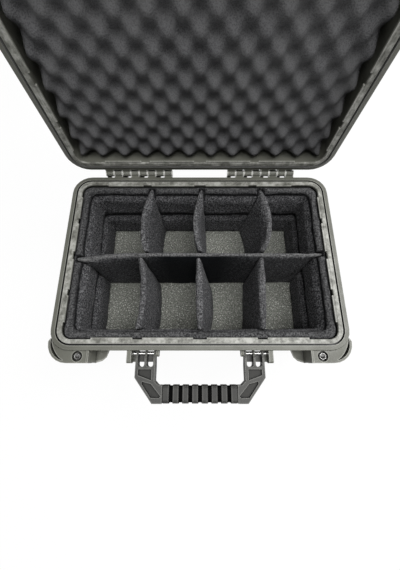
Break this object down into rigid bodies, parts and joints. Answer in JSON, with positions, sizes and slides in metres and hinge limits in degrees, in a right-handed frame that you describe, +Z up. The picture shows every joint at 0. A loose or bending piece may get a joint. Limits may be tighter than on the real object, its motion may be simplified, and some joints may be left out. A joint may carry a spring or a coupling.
{
  "type": "hard carrying case",
  "caption": "Hard plastic carrying case standing open, with a hinged lid, over-centre latches, a fold-down grip handle and a padded divider set.",
  "frame": {"origin": "centre of the flat bottom of the base", "axes": "+X to the case's right, +Y back to the hinges, +Z up; the lid stands open"},
  "size_m": [0.4043, 0.3979, 0.4491],
  "materials": {
    "shell_plastic": "fine moulded texture, satin olive grey",
    "handle_plastic": "satin dark grey",
    "dark_rubber": "matte",
    "loop_fabric": "short loop pile",
    "bare_foam": "open cell foam",
    "steel": "bright drawn pin"
  },
  "bodies": {
    "base": {"base_shell": "shell_plastic", "liner_wall": "loop_fabric", "floor_pad": "bare_foam", "valve_body": "dark_rubber", "valve_seal": "dark_rubber", "valve_nut": "dark_rubber", "padlock_bush_base_left": "steel", "padlock_bush_base_right": "steel", "hinge_pin_left": "steel", "hinge_pin_right": "steel", "handle_pin_left": "steel", "handle_pin_right": "steel"},
    "lid": {"lid_shell": "shell_plastic", "lid_seal": "dark_rubber", "lid_foam": "bare_foam", "padlock_bush_lid_left": "steel", "padlock_bush_lid_right": "steel", "latch_pin_left": "steel", "latch_pin_right": "steel"},
    "handle": {"handle_frame": "handle_plastic", "handle_grip": "dark_rubber"},
    "latch_left": {"latch_body_left": "shell_plastic", "trigger_pin_left": "steel", "trigger_spring_left": "steel"},
    "latch_right": {"latch_body_right": "shell_plastic", "trigger_pin_right": "steel", "trigger_spring_right": "steel"},
    "trigger_left": {"latch_trigger_left": "shell_plastic"},
    "trigger_right": {"latch_trigger_right": "shell_plastic"},
    "valve_knob": {"valve_knob": "dark_rubber"},
    "divider_long": {"divider_long": "loop_fabric"},
    "divider_back_1": {"divider_back_1": "loop_fabric"},
    "divider_back_2": {"divider_back_2": "loop_fabric"},
    "divider_back_3": {"divider_back_3": "loop_fabric"},
    "divider_front_1": {"divider_front_1": "loop_fabric"},
    "divider_front_2": {"divider_front_2": "loop_fabric"},
    "divider_front_3": {"divider_front_3": "loop_fabric"}
  },
  "joints": [
    {"name": "lid_hinge", "type": "hinge", "parent": "base", "child": "lid", "pos_m": [0, 0.142, 0.13215], "axis": [-1, 0, 0], "range_deg": [-92, 0]},
    {"name": "handle_hinge", "type": "hinge", "parent": "base", "child": "handle", "pos_m": [0, -0.1384, 0.12], "axis": [1, 0, 0], "range_deg": [0, 85]},
    {"name": "latch_left_pivot", "type": "hinge", "parent": "lid", "child": "latch_left", "pos_m": [-0.121, 0.16705, 0.41545], "axis": [-1, 0, 0], "range_deg": [-40, 50]},
    {"name": "latch_right_pivot", "type": "hinge", "parent": "lid", "child": "latch_right", "pos_m": [0.121, 0.16705, 0.41545], "axis": [-1, 0, 0], "range_deg": [-40, 50]},
    {"name": "trigger_left_press", "type": "hinge", "parent": "latch_left", "child": "trigger_left", "pos_m": [-0.121, 0.16111, 0.4208], "axis": [1, 0, 0], "range_deg": [0, 8], "stiffness_Nm_per_rad": 0.05, "springref_deg": -5.73, "deforming": ["trigger_spring_left"]},
    {"name": "trigger_right_press", "type": "hinge", "parent": "latch_right", "child": "trigger_right", "pos_m": [0.121, 0.16111, 0.4208], "axis": [1, 0, 0], "range_deg": [0, 8], "stiffness_Nm_per_rad": 0.05, "springref_deg": -5.73, "deforming": ["trigger_spring_right"]},
    {"name": "valve_knob_turn", "type": "hinge", "parent": "base", "child": "valve_knob", "pos_m": [0.195, 0, 0.094], "axis": [1, 0, 0], "range_deg": [0, 180]},
    {"name": "divider_long_lift", "type": "slide", "parent": "base", "child": "divider_long", "axis": [0, 0, 1], "range_m": [0, 0.13]},
    {"name": "divider_back_1_lift", "type": "slide", "parent": "divider_long", "child": "divider_back_1", "axis": [0, 0, 1], "range_m": [0, 0.115]},
    {"name": "divider_back_2_lift", "type": "slide", "parent": "divider_long", "child": "divider_back_2", "axis": [0, 0, 1], "range_m": [0, 0.115]},
    {"name": "divider_back_3_lift", "type": "slide", "parent": "divider_long", "child": "divider_back_3", "axis": [0, 0, 1], "range_m": [0, 0.115]},
    {"name": "divider_front_1_lift", "type": "slide", "parent": "divider_long", "child": "divider_front_1", "axis": [0, 0, 1], "range_m": [0, 0.115]},
    {"name": "divider_front_2_lift", "type": "slide", "parent": "divider_long", "child": "divider_front_2", "axis": [0, 0, 1], "range_m": [0, 0.115]},
    {"name": "divider_front_3_lift", "type": "slide", "parent": "divider_long", "child": "divider_front_3", "axis": [0, 0, 1], "range_m": [0, 0.115]}
  ]
}
